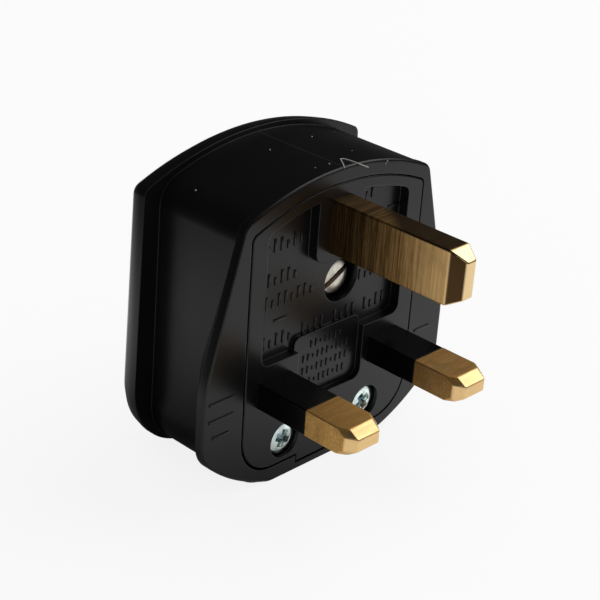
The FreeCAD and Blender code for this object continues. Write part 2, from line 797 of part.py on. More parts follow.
def make_screw(label, head_wide, head_thick, shank_wide, length, recess):
    screw = new_body(label)
    head = face_sketch(screw, 0)
    draw_circle(head, 0, 0, head_wide)
    pad(screw, head, head_thick)
    shank = face_sketch(screw, head_thick)
    draw_circle(shank, 0, 0, shank_wide)
    pad(screw, shank, length - head_thick)
    for end in (0, length.value):
        chamfer(screw, s.screw_bevel, lambda edge: at_depth(edge, end))
    recess(screw, head_wide)
    return screw


def cut_slot(screw, head_wide):
    slot = face_sketch(screw, 0)
    draw_box(slot, -s.slot_wide / 2, -head_wide, s.slot_wide / 2, head_wide)
    pocket(screw, slot, s.slot_deep)


def cut_cross(screw, head_wide):
    for wide, tall in ((s.cross_wide, s.cross_arm), (s.cross_arm, s.cross_wide)):
        arm = face_sketch(screw, 0)
        draw_box(arm, -wide / 2, -tall / 2, wide / 2, tall / 2)
        pocket(screw, arm, s.cross_deep)


def put_at(body, across, depth, up, axis=Vector(0, 1, 0), turn=0):
    body.Placement = Placement(Vector(0, 0, 0), Rotation(axis, as_size(turn).value))
    bind(body, "Placement.Rotation.Angle", turn)
    bind(body, "Placement.Base.x", across)
    bind(body, "Placement.Base.y", depth)
    bind(body, "Placement.Base.z", up)


def make_front_screws():
    cover_screw = make_screw("cover_screw", s.screw_head, s.screw_seat - s.screw_face,
                             s.screw_shank, s.screw_end - s.screw_face, cut_slot)
    put_at(cover_screw, s.screw_across, s.screw_face, s.screw_height, turn=s.slot_turn)
    made = [cover_screw]
    for name, side in (("left", -1), ("right", 1)):
        screw = make_screw("cord_grip_screw_" + name, s.grip_head, s.grip_seat - s.grip_face,
                           s.grip_shank, s.grip_end - s.grip_face, cut_cross)
        put_at(screw, s.grip_spacing / 2 * side, s.grip_face, s.grip_height)
        made.append(screw)
    return made


def make_terminal_screws():
    spots = (
        ("earth", 0, (s.earth_block_low + s.earth_top) / 2),
        ("neutral", s.pin_spacing / 2, s.pin_height + s.block_above - s.block_half),
        ("live", -s.pin_spacing / 2, s.live_block_high - s.live_block_wall / 2),
    )
    made = []
    head_face = s.block_far + s.clamp_under + s.clamp_head_thick
    for name, across, up in spots:
        screw = make_screw(name + "_terminal_screw", s.clamp_head, s.clamp_head_thick,
                           s.clamp_shank, head_face - s.wire_depth - s.clamp_short, cut_slot)
        put_at(screw, across, head_face, up, Vector(0, 0, 1), 180)
        made.append(screw)
    return made


# What holds the cover screw

def make_ring(label, outer, inner, near, long):
    ring = new_body(label)
    outside = face_sketch(ring, near)
    draw_circle(outside, s.screw_across, s.screw_height, outer)
    draw_circle(outside, s.screw_across, s.screw_height, inner)
    pad(ring, outside, long)
    return ring


# The bar that clamps the cord, hollowed on the side that faces it

def make_grip_bar():
    bar = new_body("cord_grip_bar")
    low = s.grip_height - s.bar_tall / 2
    section = level_sketch(bar, low)
    draw_box(section, -s.bar_half, s.bar_near, s.bar_half, s.bar_near + s.bar_thick)
    pad(bar, section, s.bar_tall, False)
    fillet(bar, s.bar_thick / 4, lambda edge: edge.BoundBox.ZLength > tiny)
    hollow = level_sketch(bar, low)
    middle = s.bar_near - s.bar_saddle + s.bar_saddle_deep
    draw_circle(hollow, 0, middle, s.bar_saddle * 2)
    pocket(bar, hollow, s.bar_tall, True)
    holes = face_sketch(bar, s.bar_near)
    for side in (-1, 1):
        draw_circle(holes, s.grip_spacing / 2 * side, s.grip_height, s.grip_shank)
    pocket(bar, holes, s.bar_thick)
    return bar


# Fuse and its clips. They stand over the live pin

def fuse_axis():
    return s.clip_seat + s.clip_thick + s.fuse_wide / 2


def make_fuse():
    across, depth = -s.pin_spacing / 2, fuse_axis()
    tube = new_body("fuse_tube")
    inner = s.fuse_wide - s.fuse_cap_wall * 2
    body = level_sketch(tube, s.fuse_low + s.fuse_cap_wall)
    draw_circle(body, across, depth, inner)
    pad(tube, body, s.fuse_long - s.fuse_cap_wall * 2, False)
    made = [tube]
    for name, low, open_up in (("lower", s.fuse_low, True),
                               ("upper", s.fuse_top - s.fuse_cap_long, False)):
        cap = new_body("fuse_cap_" + name)
        outside = level_sketch(cap, low)
        draw_circle(outside, across, depth, s.fuse_wide)
        pad(cap, outside, s.fuse_cap_long, False)
        bore = level_sketch(cap, low + s.fuse_cap_wall if open_up else low)
        draw_circle(bore, across, depth, inner)
        pocket(cap, bore, s.fuse_cap_long - s.fuse_cap_wall, True)
        end = (low if open_up else low + s.fuse_cap_long).value
        chamfer(cap, s.fuse_cap_bevel, lambda edge: at_height(edge, end))
        made.append(cap)
    return made


# A strip bent round the cap: a foot on its seat, two cheeks, and lips that lean outwards
def make_clip(label, low):
    clip = new_body(label)
    across, depth = -s.pin_spacing / 2, fuse_axis()
    inner = s.fuse_wide / 2
    outer = inner + s.clip_thick
    ring = level_sketch(clip, low)
    draw_circle(ring, across, depth, outer * 2)
    draw_circle(ring, across, depth, s.fuse_wide)
    pad(clip, ring, s.clip_tall, False)
    mouth = level_sketch(clip, low)
    brim = depth + root(inner * inner - s.clip_gap * s.clip_gap / 4)
    draw_box(mouth, across - outer, brim, across + outer, depth + outer * 2)
    pocket(clip, mouth, s.clip_tall, True)
    lips = level_sketch(clip, low)
    near, reach = s.clip_gap / 2, s.clip_lip
    far = near + s.clip_thick
    top = brim + reach
    draw_outline(lips, [Corner(across + near, brim), Corner(across + far, brim),
                        Corner(across + far + reach, top), Corner(across + near + reach, top)])
    draw_outline(lips, [Corner(across - far, brim), Corner(across - near, brim),
                        Corner(across - near - reach, top), Corner(across - far - reach, top)])
    pad(clip, lips, s.clip_tall, False)
    foot = level_sketch(clip, low)
    draw_box(foot, across - s.clip_foot_half, s.clip_seat, across + s.clip_foot_half,
             s.clip_seat + s.clip_thick)
    pad(clip, foot, s.clip_tall, False)
    return clip


# All pieces

def make_plug():
    lower_clip = s.fuse_low + (s.fuse_cap_long - s.clip_tall) / 2
    upper_clip = s.fuse_top - (s.fuse_cap_long + s.clip_tall) / 2
    post_tip = s.base_depth + s.washer_thick
    pieces = [make_cover(), make_base(), make_earth_pin(), make_neutral_pin(), make_live_pin(),
              make_sleeve("neutral_sleeve", 1), make_sleeve("live_sleeve", -1),
              make_live_terminal(), make_grip_bar(),
              make_clip("live_pin_clip", lower_clip), make_clip("live_terminal_clip", upper_clip),
              make_ring("cover_screw_insert", s.insert_wide, s.screw_shank, post_tip,
                        s.insert_long),
              make_ring("cover_screw_washer", s.washer_wide, s.screw_shank, s.base_depth,
                        s.washer_thick)]
    return pieces + make_fuse() + make_front_screws() + make_terminal_screws()


def check_all(pieces):
    doc.recompute()
    failed = [item.Label for item in doc.Objects
              if "Invalid" in item.State or "Error" in item.State]
    if failed:
        raise RuntimeError("failed: " + ", ".join(failed))
    for piece in pieces:
        shape = piece.Shape
        if shape.isNull() or not shape.isValid() or len(shape.Solids) != 1:
            raise RuntimeError("%s is not one valid solid" % piece.Label)


def main():
    pieces = make_plug()
    check_all(pieces)
    os.makedirs("parts", exist_ok=True)
    for piece in pieces:
        piece.Shape.exportStep("parts/%s.step" % piece.Label)
        box = piece.Shape.BoundBox
        print("%-24s %8.1f mm3  x %.2f..%.2f  y %.2f..%.2f  z %.2f..%.2f" % (
            piece.Label, piece.Shape.Volume, box.XMin, box.XMax, box.YMin, box.YMax,
            box.ZMin, box.ZMax))


main()
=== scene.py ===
import math
import bmesh
import bpy
from mathutils import Matrix, Vector


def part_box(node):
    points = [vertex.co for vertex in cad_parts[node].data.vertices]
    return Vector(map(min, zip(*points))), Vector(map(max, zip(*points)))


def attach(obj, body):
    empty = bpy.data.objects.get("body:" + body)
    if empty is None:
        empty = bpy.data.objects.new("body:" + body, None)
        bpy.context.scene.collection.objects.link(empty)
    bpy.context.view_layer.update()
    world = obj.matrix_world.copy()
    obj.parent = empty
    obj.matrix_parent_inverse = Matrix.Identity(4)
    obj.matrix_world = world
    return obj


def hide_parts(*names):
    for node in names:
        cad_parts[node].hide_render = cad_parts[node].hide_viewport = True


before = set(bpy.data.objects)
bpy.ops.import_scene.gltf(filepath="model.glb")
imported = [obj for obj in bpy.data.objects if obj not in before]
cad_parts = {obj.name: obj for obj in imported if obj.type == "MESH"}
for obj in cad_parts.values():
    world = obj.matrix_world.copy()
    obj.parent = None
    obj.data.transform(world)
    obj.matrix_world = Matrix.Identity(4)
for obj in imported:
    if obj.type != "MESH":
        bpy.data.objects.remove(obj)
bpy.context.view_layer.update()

# A rewirable three pin plug, dressed over its CAD solids. The settings of materials and pieces
# are in millimetres and degrees. The meshes, the floor, the lamps and the camera are in metres.
mm = 0.001


# Materials

# A socket of a material. Sums and products of these add Math nodes
class Signal:
    def __init__(self, graph, socket):
        self.graph = graph
        self.socket = socket

    def join(self, operation, first, second):
        return self.graph.add("ShaderNodeMath", {"operation": operation}, {0: first, 1: second})

    def __add__(self, other):
        return self.join("ADD", self, other)

    def __radd__(self, other):
        return self.join("ADD", other, self)

    def __sub__(self, other):
        return self.join("SUBTRACT", self, other)

    def __rsub__(self, other):
        return self.join("SUBTRACT", other, self)

    def __mul__(self, other):
        return self.join("MULTIPLY", self, other)

    def __rmul__(self, other):
        return self.join("MULTIPLY", other, self)


class Graph:
    def __init__(self, tree):
        self.tree = tree
        tree.nodes.clear()

    # Adds one node: its settings first, then what its sockets get
    def add(self, kind, settings=None, sockets=None, out=0):
        node = self.tree.nodes.new(kind)
        for name, value in (settings or {}).items():
            setattr(node, name, value)
        for name, value in (sockets or {}).items():
            if isinstance(value, Signal):
                self.tree.links.new(value.socket, node.inputs[name])
            else:
                node.inputs[name].default_value = value
        return Signal(self, node.outputs[out]) if node.outputs else None


def startMaterial(name):
    material = bpy.data.materials.new(name)
    material.use_nodes = True
    return material, Graph(material.node_tree)


def objectPlace(graph, stretch=(1, 1, 1)):
    place = graph.add("ShaderNodeTexCoord", out="Object")
    return graph.add("ShaderNodeMapping", {}, {"Vector": place, "Scale": stretch})


def axesOf(graph):
    place = graph.add("ShaderNodeTexCoord", out="Object")
    return [graph.add("ShaderNodeSeparateXYZ", {}, {0: place}, out=axis) for axis in "XYZ"]


def noise(graph, place, size, detail=2, rough=0.5):
    return graph.add("ShaderNodeTexNoise", {}, {
        "Vector": place, "Scale": 1 / (size * mm), "Detail": detail, "Roughness": rough})


# 0 below low, 1 above high
def between(graph, value, low, high):
    return graph.add("ShaderNodeMapRange", {"interpolation_type": "SMOOTHSTEP"}, {
        "Value": value, "From Min": low, "From Max": high})


# The same for a length, with its limits in millimetres
def along(graph, length, low, high):
    return between(graph, length, low * mm, high * mm)


def blendColours(graph, share, first, second):
    return graph.add("ShaderNodeMix", {"data_type": "RGBA"}, {0: share, 6: first, 7: second},
                     out=2)


edgeRule = {"samples": 8, "turn": (0.01, 0.2)}


def softEdges(graph, width):
    return graph.add("ShaderNodeBevel", {"samples": edgeRule["samples"]}, {"Radius": width * mm})


# How sharply the surface turns here: 0 on a flat, 1 on an edge
def edgeMask(graph, width):
    rounded = softEdges(graph, width)
    flat = graph.add("ShaderNodeNewGeometry", out="Normal")
    same = graph.add("ShaderNodeVectorMath", {"operation": "DOT_PRODUCT"},
                     {0: rounded, 1: flat}, out="Value")
    return between(graph, 1 - same, *edgeRule["turn"])


def bump(graph, height, depth, normal):
    return graph.add("ShaderNodeBump", {}, {
        "Height": height, "Distance": depth * mm, "Strength": 1, "Normal": normal})


def addSurface(graph, sockets):
    shader = graph.add("ShaderNodeBsdfPrincipled", {}, sockets)
    graph.add("ShaderNodeOutputMaterial", {}, {"Surface": shader})


def shade(colour, factor=1):
    return tuple(channel * factor for channel in colour) + (1,)


# In these dicts a pair is where a mask begins and where it is whole, and a share is how much
# of a colour the mask lets through

# What all the plastics have in common
plastic = {
    "clouds": 7, "cloudTones": (0.8, 1.2), "cloudRough": 0.1,
    "scratch": 0.35, "scratchRun": (1, 0.05, 0.6), "scratchAt": (0.66, 0.74),
    "scratchPatch": (0.5, 0.62), "scratchShare": 0.35, "scratchRough": 0.15,
    "scratchDepth": -0.004,
    "dustApart": 3.1, "dustAt": (0.02, 0.05), "dustChosen": (0.86, 0.9),
    "dustTone": (0.42, 0.4, 0.37), "dustRough": 0.3, "worn": 0.3,
}


# Moulded plastic: fine grain, a clouded gloss, hair scratches, a little dust, worn edges
def mouldedPlastic(name, look):
    material, graph = startMaterial(name)
    place = objectPlace(graph)
    clouds = noise(graph, place, plastic["clouds"], detail=3)
    grain = noise(graph, place, look["grain"], detail=3, rough=0.6)
    scored = noise(graph, objectPlace(graph, plastic["scratchRun"]), plastic["scratch"],
                   detail=4, rough=0.7)
    scratches = (between(graph, scored, *plastic["scratchAt"])
                 * between(graph, clouds, *plastic["scratchPatch"]))
    cells = {"Vector": place, "Scale": 1 / (plastic["dustApart"] * mm)}
    specks = graph.add("ShaderNodeTexVoronoi", {}, cells, out="Distance")
    kind = graph.add("ShaderNodeTexVoronoi", {}, cells, out="Color")
    chosen = graph.add("ShaderNodeSeparateColor", {}, {0: kind})
    dust = ((1 - between(graph, specks, *plastic["dustAt"]))
            * between(graph, chosen, *plastic["dustChosen"]))
    worn = edgeMask(graph, plastic["worn"])
    edge = shade(look["edge"])
    dark, pale = [shade(look["colour"], factor) for factor in plastic["cloudTones"]]
    tone = blendColours(graph, clouds, dark, pale)
    tone = blendColours(graph, worn * look["wear"], tone, edge)
    tone = blendColours(graph, scratches * plastic["scratchShare"], tone, edge)
    tone = blendColours(graph, dust * look["dust"], tone, shade(plastic["dustTone"]))
    rough = (look["rough"] + clouds * plastic["cloudRough"]
             + scratches * plastic["scratchRough"] + dust * plastic["dustRough"])
    shaped = bump(graph, grain, look["grainDepth"], softEdges(graph, look["edgeWidth"]))
    if "partingLine" in look:
        line = partingLine(graph, look["partingLine"])
        tone = blendColours(graph, line * clouds, tone, edge)
        shaped = bump(graph, line, look["partingLine"]["high"], shaped)
    shaped = bump(graph, scratches, plastic["scratchDepth"], shaped)
    addSurface(graph, {"Base Color": tone, "Roughness": rough, "Normal": shaped,
                       "Specular IOR Level": look["gloss"]})
    return material


# The fine ridge where the halves of the mould met, along the top of the cover
def partingLine(graph, line):
    across, _, up = axesOf(graph)
    off = graph.add("ShaderNodeMath", {"operation": "ABSOLUTE"}, {0: across - line["at"] * mm})
    return (1 - along(graph, off, *line["half"])) * along(graph, up, *line["above"])


# What all the brass has in common
brass = {
    "lines": 0.7, "coarse": 0.3, "coarser": 5, "groove": (0.36, 0.64), "grooveRough": 0.12,
    "tarnish": 4.5, "tarnished": (0.45, 0.75), "tarnishRough": 0.1,
    "tipFade": 0.25, "tipShare": 0.85, "tipSmooth": 0.9, "worn": 0.25, "edge": 0.08,
}


# Milled brass: lines left by the cutter across the bar, tarnish in clouds, bright edges
def milledBrass(name, look):
    material, graph = startMaterial(name)
    across, depth, up = axesOf(graph)
    place = objectPlace(graph, look["stretch"])
    lines = noise(graph, place, look["line"], detail=4, rough=0.75)
    coarse = noise(graph, place, look["line"] * brass["coarser"])
    tarnish = noise(graph, objectPlace(graph), brass["tarnish"], detail=4, rough=0.6)
    groove = between(graph, lines * brass["lines"] + coarse * brass["coarse"], *brass["groove"])
    tip = 1 - along(graph, depth, look["tipAt"] - brass["tipFade"],
                    look["tipAt"] + brass["tipFade"])
    polished = shade(look["polished"])
    tone = blendColours(graph, groove, shade(look["dark"]), shade(look["bright"]))
    # The earth pin gets painted shade towards its face and a painted reflection towards its tip
    if "lacquer" in look:
        tone = addPaintedRootShade(graph, look, tone, depth, groove, tarnish)
    tone = blendColours(graph, between(graph, tarnish, *brass["tarnished"]) * look["tarnish"],
                        tone, shade(look["stain"]))
    tone = blendColours(graph, tip * brass["tipShare"], tone, polished)
    # The earth pin's top and the sides of its tip get painted shade
    if "stains" in look:
        tone = addPaintedTopAndFlankShade(graph, look["stains"], tone, (across, depth, up), tarnish, tip)
    tone = blendColours(graph, edgeMask(graph, brass["worn"]) * look["edges"], tone, polished)
    rough = (look["rough"] + (1 - groove) * brass["grooveRough"]
             + tarnish * brass["tarnishRough"] - tip * look["tipShine"])
    shaped = bump(graph, lines * (1 - tip * brass["tipSmooth"]), look["depth"],
                  softEdges(graph, brass["edge"]))
    addSurface(graph, {"Base Color": tone, "Metallic": 1.0, "Roughness": rough,
                       "Normal": shaped})
    return material


# Painted shade: dark brown, thick at the face and gone in streaks by half way out, and a
# painted reflection: lighter brass in streaks towards the tip
def addPaintedRootShade(graph, look, tone, depth, groove, tarnish):
    lacquer, clean = look["lacquer"], look["clean"]
    streaks = 0.5 - groove
    # The share of painted shade, then the share of painted reflection
    left = along(graph, depth + streaks * (lacquer["streak"] * mm)
                 + (tarnish - 0.5) * (lacquer["cloud"] * mm), *lacquer["at"])
    tipReflectionMask = 1 - along(graph, depth + streaks * (clean["streak"] * mm), *clean["at"])
    tone = blendColours(graph, tipReflectionMask * clean["share"], tone, shade(clean["tone"]))
    return blendColours(graph, left * lacquer["share"], tone, shade(lacquer["tone"]))


# Painted shade: darker brown on the pin's top and on the sides of its tip
def addPaintedTopAndFlankShade(graph, stains, tone, axes, tarnish, tip):
    across, depth, up = axes
    wobble = (tarnish - 0.5) * (stains["wobble"] * mm)
    onTop = along(graph, up, *stains["topAt"])
    outer = 1 - along(graph, depth + wobble - across * stains["slant"], *stains["outerAt"])
    face = graph.add("ShaderNodeNewGeometry", out="True Normal")
    sideways, forward = [graph.add("ShaderNodeSeparateXYZ", {}, {0: face}, out=axis)
                         for axis in "XY"]
    flankShadeMask = (between(graph, sideways * sideways, *stains["sideways"])
             * between(graph, 0 - forward, *stains["forward"]))
    topShadeMask = onTop * (stains["inner"] + outer * stains["outer"]) * (1 - tip)
    tone = blendColours(graph, topShadeMask, tone, shade(stains["top"]))
    return blendColours(graph, flankShadeMask * tip, tone, shade(stains["tip"]))


# What all the plated steel has in common
plating = {
    "mottled": (0.4, 0.6), "mottleRough": 0.12, "recessShare": 0.85,
    "mark": 0.2, "markRun": (1, 1, 0.12), "marked": (0.58, 0.72), "markShare": 0.4,
    "markTone": 0.6, "markRough": 0.12, "edge": 0.06,
}


# Plated steel: a soft mottled plating, painted shade deep in the recess, fine marks from the
# driver
def platedSteel(name, look):
    material, graph = startMaterial(name)
    mottle = noise(graph, objectPlace(graph), look["mottle"], detail=4, rough=0.6)
    marks = noise(graph, objectPlace(graph, plating["markRun"]), plating["mark"],
                  detail=3, rough=0.7)
    tone = blendColours(graph, between(graph, mottle, *plating["mottled"]),
                        shade(look["first"]), shade(look["second"]))
    # Painted shade: the deeper part of the slot or cross is darker
    if "recess" in look:
        shadedRecess = along(graph, axesOf(graph)[1], *look["recessAt"])
        tone = blendColours(graph, shadedRecess * plating["recessShare"], tone, shade(look["recess"]))
    worn = between(graph, marks, *plating["marked"])
    tone = blendColours(graph, worn * plating["markShare"], tone,
                        shade(look["first"], plating["markTone"]))
    rough = look["rough"] + mottle * plating["mottleRough"] + worn * plating["markRough"]
    shaped = bump(graph, marks, look["depth"], softEdges(graph, plating["edge"]))
    addSurface(graph, {"Base Color": tone, "Metallic": 1.0, "Roughness": rough,
                       "Normal": shaped})
    return material


# Dull stock: fibre board, ceramic and loose swarf
stock = {"tones": (0.8, 1.15), "edge": 0.1, "grainRough": 0.15}


def dullStock(name, look):
    material, graph = startMaterial(name)
    grain = noise(graph, objectPlace(graph, look["stretch"]), look["grain"],
                  detail=4, rough=0.65)
    dark, pale = [shade(look["colour"], factor) for factor in stock["tones"]]
    tone = blendColours(graph, grain, dark, pale)
    rough = look["rough"] + grain * stock["grainRough"]
    shaped = bump(graph, grain, look["depth"], softEdges(graph, stock["edge"]))
    addSurface(graph, {"Base Color": tone, "Roughness": rough, "Normal": shaped})
    return material


coverLook = {"colour": (0.003, 0.003, 0.0033), "edge": (0.03, 0.03, 0.032), "rough": 0.26,
             "grain": 0.16, "grainDepth": 0.005, "edgeWidth": 0.16, "wear": 0.5, "dust": 0.7,
             "gloss": 0.3}
shellLook = dict(coverLook, partingLine={"at": -0.3, "half": (0.05, 0.14),
                                         "above": (45.1, 45.4), "high": 0.03})
baseLook = dict(coverLook, rough=0.24, grain=0.2, grainDepth=0.004, wear=0.6, dust=0.25)
sleeveLook = dict(coverLook, colour=(0.0012, 0.0012, 0.0014), rough=0.22, grainDepth=0.003,
                  wear=0.2, dust=0.3, edgeWidth=0.1, gloss=0.12)
gripBarLook = dict(coverLook, rough=0.5, grain=0.3, grainDepth=0.012, wear=0.3, dust=0)
pinBrassLook = {"stretch": (0.08, 1, 0.9), "line": 0.3, "depth": 0.004, "rough": 0.42,
                "dark": (0.66, 0.37, 0.12), "bright": (0.92, 0.56, 0.18),
                "stain": (0.3, 0.18, 0.07), "polished": (0.82, 0.57, 0.27), "tarnish": 0.2,
                "tipAt": -16.1, "tipShine": 0.18, "edges": 0.3}
neutralBrassLook = dict(pinBrassLook, tarnish=0.75, stain=(0.26, 0.17, 0.07),
                        dark=(0.45, 0.24, 0.075), bright=(0.66, 0.4, 0.145))
earthBrassLook = dict(
    pinBrassLook, stretch=(0.02, 1, 0.02), line=0.13, depth=0.01, rough=0.28, tipAt=-20.5,
    dark=(0.4, 0.19, 0.055), bright=(1, 0.62, 0.24), polished=(0.82, 0.62, 0.34),
    # painted shade towards the face, and a painted reflection towards the tip
    lacquer={"tone": (0.085, 0.047, 0.02), "at": (-13.5, -1), "share": 0.85, "streak": 12,
             "cloud": 4},
    clean={"tone": (1, 0.66, 0.28), "at": (-19, -9.5), "share": 0.7, "streak": 4},
    # painted shade on the top and on the sides of the tip
    stains={"top": (0.07, 0.042, 0.02), "topAt": (40.8, 41.05), "outerAt": (-10.5, -7),
            "inner": 0.3, "outer": 0.65, "slant": 1.5, "wobble": 3,
            "tip": (0.06, 0.034, 0.014), "sideways": (0.5, 0.7), "forward": (0.15, 0.3)})
terminalBrassLook = dict(pinBrassLook, rough=0.32, tipAt=-40)
clipLook = {"first": (0.68, 0.66, 0.6), "second": (0.6, 0.57, 0.5), "mottle": 1.1, "rough": 0.3,
            "depth": 0.006}
capLook = dict(clipLook, first=(0.74, 0.74, 0.73), second=(0.62, 0.62, 0.61), rough=0.16)
# The recess colours of these screws are painted shade deep in the slot or cross
coverScrewLook = dict(clipLook, first=(0.76, 0.73, 0.65), second=(0.64, 0.6, 0.52), rough=0.26,
                      recess=(0.2, 0.14, 0.09), recessAt=(3.0, 3.3))
zincLook = dict(clipLook, first=(0.88, 1, 0.95), second=(0.58, 0.68, 0.67), mottle=1.2,
                rough=0.16, depth=0.01, recess=(0.24, 0.34, 0.37), recessAt=(0.75, 0.9))
fibreLook = {"colour": (0.33, 0.06, 0.03), "grain": 0.25, "stretch": (1, 0.2, 1),
             "depth": 0.02, "rough": 0.7}
ceramicLook = {"colour": (0.66, 0.63, 0.56), "grain": 0.4, "stretch": (1, 1, 1),
               "depth": 0.004, "rough": 0.55}
swarfLook = {"colour": (0.3, 0.3, 0.28), "grain": 0.2, "stretch": (1, 1, 1),
             "depth": 0.01, "rough": 0.5}

finishes = {
    "cover_plastic": mouldedPlastic("coverPlastic", shellLook),
    "base_plastic": mouldedPlastic("basePlastic", baseLook),
    "sleeve_plastic": mouldedPlastic("sleevePlastic", sleeveLook),
    "grip_bar_plastic": mouldedPlastic("gripBarPlastic", gripBarLook),
    "terminal_brass": milledBrass("terminalBrass", terminalBrassLook),
    "terminal_screw": milledBrass("terminalScrewBrass", terminalBrassLook),
    "plated_screw": platedSteel("coverScrewPlating", coverScrewLook),
    "zinc_screw": platedSteel("gripScrewZinc", zincLook),
    "clip_metal": platedSteel("clipMetal", clipLook),
    "fuse_cap_metal": platedSteel("fuseCapMetal", capLook),
    "fibre": dullStock("redFibre", fibreLook),
    "fuse_ceramic": dullStock("fuseCeramic", ceramicLook),
}
pinBrass = {"earth": milledBrass("earthPinBrass", earthBrassLook),
            "neutral": milledBrass("neutralPinBrass", neutralBrassLook),
            "live": milledBrass("livePinBrass", pinBrassLook)}
print("materials made")


# Pieces

# Puts a bmesh into the scene as an object, and frees it
def addObject(name, work):
    mesh = bpy.data.meshes.new(name)
    work.to_mesh(mesh)
    work.free()
    made = bpy.data.objects.new(name, mesh)
    bpy.context.scene.collection.objects.link(made)
    return made


def makePiece(name, work, material, nodes=()):
    piece = addObject(name, work)
    piece.data.materials.append(material)
    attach(piece, "root")
    if nodes:
        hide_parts(*nodes)
    return piece


def evenNormals(piece, mode):
    even = piece.modifiers.new("evenNormals", "WEIGHTED_NORMAL")
    even.keep_sharp = True
    even.mode = mode


def smooth(piece, crease=40):
    piece.data.shade_smooth()
    piece.data.set_sharp_from_angle(angle=math.radians(crease))
    evenNormals(piece, "FACE_AREA")


skins = {"weld": 0.002, "flat": 0.4, "cut": 0.0001}


# A CAD node's triangles joined into one skin, with flat faces made whole
def skinOf(node):
    work = bmesh.new()
    work.from_mesh(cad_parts[node].data)
    bmesh.ops.remove_doubles(work, verts=work.verts, dist=skins["weld"] * mm)
    bmesh.ops.dissolve_limit(work, angle_limit=math.radians(skins["flat"]), verts=work.verts,
                             edges=work.edges)
    return work


def bevel(work, edges, width, segments=2):
    bmesh.ops.bevel(work, geom=edges, affect="EDGES", offset=width * mm, offset_type="OFFSET",
                    segments=segments, profile=0.5, material=-1, clamp_overlap=True)


def bevelSharp(work, width, angle=30, segments=2):
    bevel(work, [edge for edge in work.edges
                 if edge.is_manifold and edge.calc_face_angle() > math.radians(angle)],
          width, segments)


# Moves what one bmesh holds into another
def pourInto(work, extra):
    mesh = bpy.data.meshes.new("extra")
    extra.to_mesh(mesh)
    extra.free()
    work.from_mesh(mesh)
    bpy.data.meshes.remove(mesh)


def partsOf(work):
    return work.verts[:] + work.edges[:] + work.faces[:]


# Cuts the mesh along a plane, drops what lies on the normal's side and closes the cut
def trim(work, spot, normal):
    cut = bmesh.ops.bisect_plane(work, geom=partsOf(work), plane_co=Vector(spot) * mm,
                                 plane_no=normal, dist=skins["cut"] * mm,
                                 clear_outer=True)["geom_cut"]
    rims = [part for part in cut if isinstance(part, bmesh.types.BMEdge)]
    bmesh.ops.holes_fill(work, edges=rims)


# Moulded shells: the skin as it is, with its curves shaded smooth. Along the seam between
# cover and plate the edges are taken off, and the plate's left and lower walls lie further
# in by shift, so that the seam is thicker there
shells = {
    "crease": 32,
    # the edges of a face over this many square millimetres stay sharp, unless the face looks
    # back or the edge hardly turns
    "large": 45, "back": 0.9, "hardly": 1.5,
    # the walls of the seam: how upright, from the front plane to how deep, and which ones move
    "upright": 0.1, "front": 0.01, "seamDeep": 4.4, "leftOf": -6, "below": 12,
    "shift": 0.16, "seamEdge": 0.17,
}


def smoothShell(piece):
    work = bmesh.new()
    work.from_mesh(piece.data)
    for face in work.faces:
        face.smooth = True
    for edge in work.edges:
        if edge.is_manifold:
            turn = math.degrees(edge.calc_face_angle())
            large = any(face.calc_area() > shells["large"] * mm * mm
                        and face.normal.y < shells["back"] for face in edge.link_faces)
            edge.smooth = turn < shells["crease"] and not (large and turn > shells["hardly"])
    work.to_mesh(piece.data)
    work.free()
    evenNormals(piece, "CORNER_ANGLE")


def easeSeam(work, shift):
    front = shells["front"] * mm
    walls = {face for face in work.faces if abs(face.normal.y) < shells["upright"]
             and min(spot.co.y for spot in face.verts) < front
             and max(spot.co.y for spot in face.verts) > shells["seamDeep"] * mm}
    seam = [edge for edge in work.edges
            if edge.is_manifold and all(abs(spot.co.y) < front for spot in edge.verts)
            and walls.intersection(edge.link_faces)]
    spots = {spot for face in walls for spot in face.verts}
    left = [spot for spot in spots if spot.co.x < shells["leftOf"] * mm]
    low = [spot for spot in spots if spot.co.z < shells["below"] * mm]
    bmesh.ops.translate(work, verts=left, vec=(shift * mm, 0, 0))
    bmesh.ops.translate(work, verts=low, vec=(0, 0, shift * mm))
    bevel(work, seam, shells["seamEdge"])


for node, name, slot in (("rear_cover", "rearShell", "cover_plastic"),
                         ("pin_base", "frontPlate", "base_plastic"),
                         ("cord_grip_bar", "cordGripBar", "grip_bar_plastic")):
    work = skinOf(node)
    if node != "cord_grip_bar":
        easeSeam(work, shells["shift"] if node == "pin_base" else 0)
    smoothShell(makePiece(name, work, finishes[slot], [node]))


# Pins. In front each is a bar with a bevelled tip, and its block behind is the CAD's own skin.
# corner is how much of the bar's corners is cut away where the bevels start, and lean how far
# towards the end face that cut runs out. The block stays apart from the bar by a hair
pins = {"apart": 0.01, "sleeveEdge": 0.06}
earthBar = {"middle": (0, 37.23), "size": (3.98, 7.94), "root": 3.3, "reach": 22.73,
            "run": 2.26, "drop": (1.08, 1.24), "corner": 0, "edge": 0.26}
neutralBar = {"middle": (11.115, 15), "size": (6.35, 3.98), "root": -8.9, "reach": 17.7,
              "run": 1.6, "drop": (1.1, 1.08), "corner": 0.95, "lean": 0.92, "edge": 0.18}
liveBar = dict(neutralBar, middle=(-11.115, 15))


